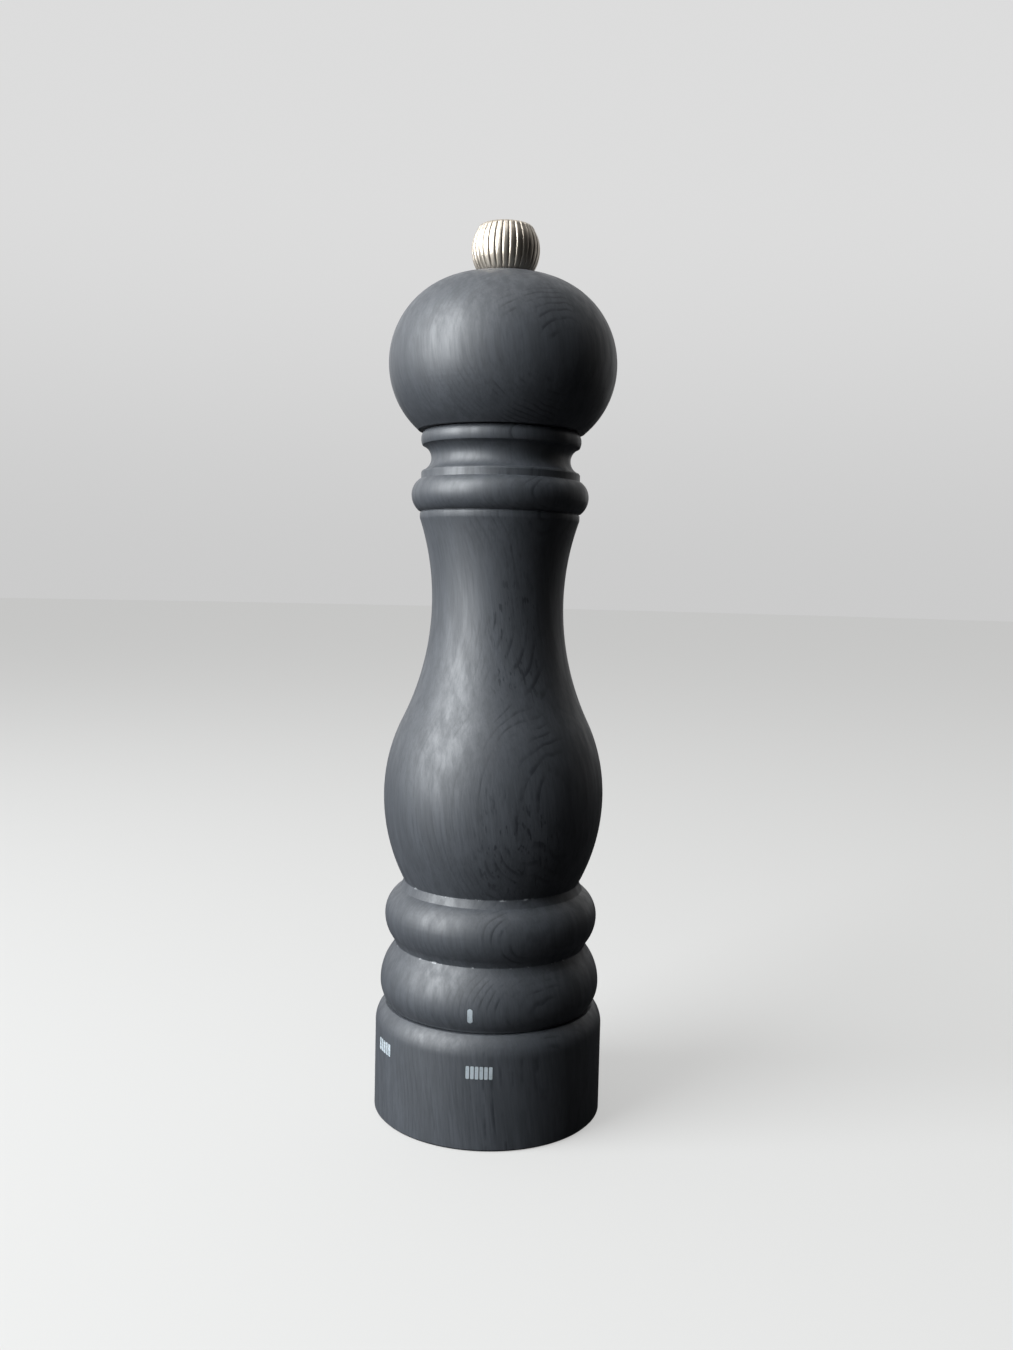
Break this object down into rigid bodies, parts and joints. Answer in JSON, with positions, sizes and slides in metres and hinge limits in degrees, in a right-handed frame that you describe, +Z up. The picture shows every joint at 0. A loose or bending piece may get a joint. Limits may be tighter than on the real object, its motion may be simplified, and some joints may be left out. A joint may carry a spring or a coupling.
{
  "type": "pepper mill",
  "caption": "Turned wooden pepper mill: fluted metal knob, lift-off head on a square shaft, conical burrs and a grind ring at the foot that sets the coarseness.",
  "frame": {"origin": "centre of the base, on the surface that the mill stands on", "axes": "+Z up along the mill's axis; -Y is the front, where the index mark is"},
  "size_m": [0.0572, 0.0572, 0.22],
  "materials": {
    "dark_wood": "stained graphite grey, satin lacquer",
    "mark_ink": "pale printed marks",
    "knob_metal": "satin nickel plating",
    "washer_metal": "plated",
    "shaft_metal": "drawn bar",
    "burr_steel": "case-hardened, dark",
    "bridge_steel": "stamped stainless",
    "spring_steel": "spring wire",
    "black_moulding": "fine moulded texture",
    "bush_moulding": "natural acetal",
    "screw_steel": "zinc plated"
  },
  "bodies": {
    "mill": {"mill_body": "dark_wood", "mechanism_housing": "black_moulding", "housing_screws": "screw_steel", "upper_bridge": "bridge_steel", "bridge_screws": "screw_steel", "bridge_bush": "bush_moulding", "ring_retainer": "spring_steel", "detent_ball": "washer_metal", "detent_spring": "spring_steel"},
    "drive": {"drive_shaft": "shaft_metal", "rotor": "burr_steel", "rotor_washer": "washer_metal", "rotor_nut": "screw_steel", "thrust_washer": "washer_metal", "shaft_clip": "spring_steel"},
    "head": {"head": "dark_wood", "head_drive_plate": "bridge_steel", "drive_plate_screws": "screw_steel"},
    "knob_washer": {"knob_washer": "washer_metal"},
    "knob": {"knob": "knob_metal"},
    "grind_ring": {"grind_ring": "dark_wood", "adjusting_nut": "black_moulding", "nut_screws": "screw_steel"},
    "burr_carrier": {"stator_carrier": "black_moulding", "stator": "burr_steel", "stator_retainer": "spring_steel", "carrier_spring": "spring_steel"}
  },
  "joints": [
    {"name": "head_turn", "type": "hinge", "parent": "mill", "child": "drive", "pos_m": [0, 0, 0.17], "axis": [0, 0, 1], "continuous": true},
    {"name": "head_lift", "type": "slide", "parent": "drive", "child": "head", "axis": [0, 0, 1], "range_m": [0, 0.062]},
    {"name": "knob_rise", "type": "slide", "parent": "head", "child": "knob_washer", "axis": [0, 0, 1], "range_m": [0, 0.0072]},
    {"name": "knob_turn", "type": "hinge", "parent": "knob_washer", "child": "knob", "pos_m": [0, 0, 0.214], "axis": [0, 0, 1], "range_deg": [0, 3245]},
    {"name": "ring_turn", "type": "hinge", "parent": "mill", "child": "grind_ring", "pos_m": [0, 0, 0.013], "axis": [0, 0, 1], "range_deg": [0, 232.3]},
    {"name": "burr_lift", "type": "slide", "parent": "mill", "child": "burr_carrier", "axis": [0, 0, 1], "range_m": [0, 0.00145], "deforming": ["carrier_spring"]}
  ],
  "couplings": [
    {"joint": "knob_turn", "follows": "knob_rise", "rad_per_m": 7854},
    {"joint": "ring_turn", "follows": "burr_lift", "rad_per_m": 2792.5}
  ]
}
